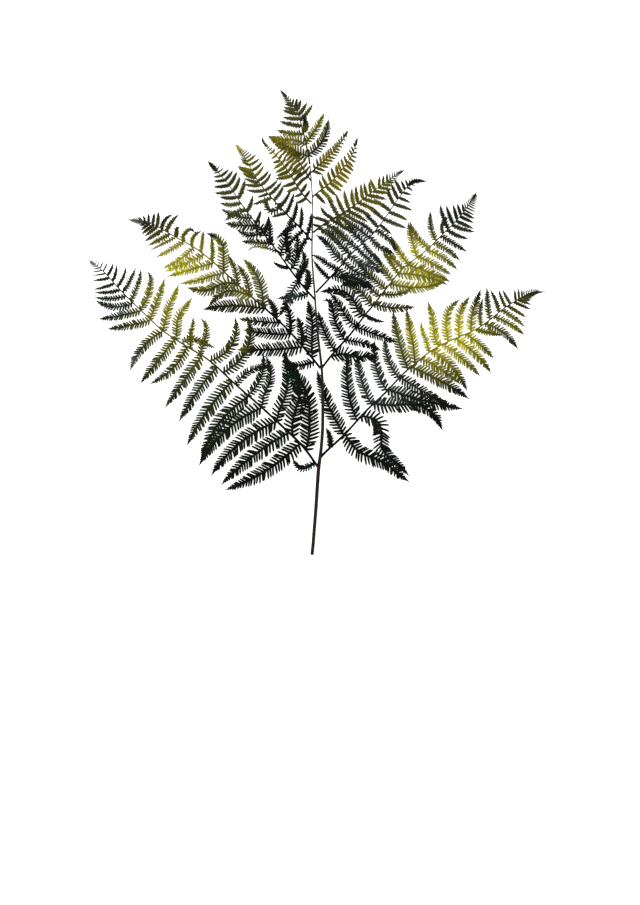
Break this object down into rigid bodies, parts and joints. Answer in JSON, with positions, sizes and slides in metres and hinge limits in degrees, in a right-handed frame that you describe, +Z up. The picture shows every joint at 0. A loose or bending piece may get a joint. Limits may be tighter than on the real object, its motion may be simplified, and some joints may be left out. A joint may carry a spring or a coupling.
{
  "type": "bracken frond",
  "caption": "Cut bracken frond lying flat: a slender stalk with opposite leafy side branches of long, toothed leaflets, each smaller than the one below, and a curled tip.",
  "frame": {"origin": "middle of the frond's footprint, on the surface that it lies on", "axes": "+Y from the cut end of the stalk towards the tip of the frond, +Z up from the surface, +X to the right as the frond is looked down on"},
  "size_m": [0.5706, 0.5802, 0.0167],
  "materials": {
    "stalk": "dark brown plant stalk, slightly glossy, olive towards the tip",
    "leaf": "matt green leaf, dark inside the frond and yellow-green where the light fell on it"
  },
  "bodies": {
    "root": {"stalk": "stalk", "pinna_left_1": "leaf", "pinna_right_1": "leaf", "pinna_left_2": "leaf", "pinna_right_2": "leaf", "pinna_left_3": "leaf", "pinna_right_3": "leaf", "pinna_left_4": "leaf", "pinna_right_4": "leaf", "pinna_left_5": "leaf", "pinna_right_5": "leaf", "pinna_left_6": "leaf", "pinna_right_6": "leaf", "crown": "leaf"}
  },
  "joints": []
}
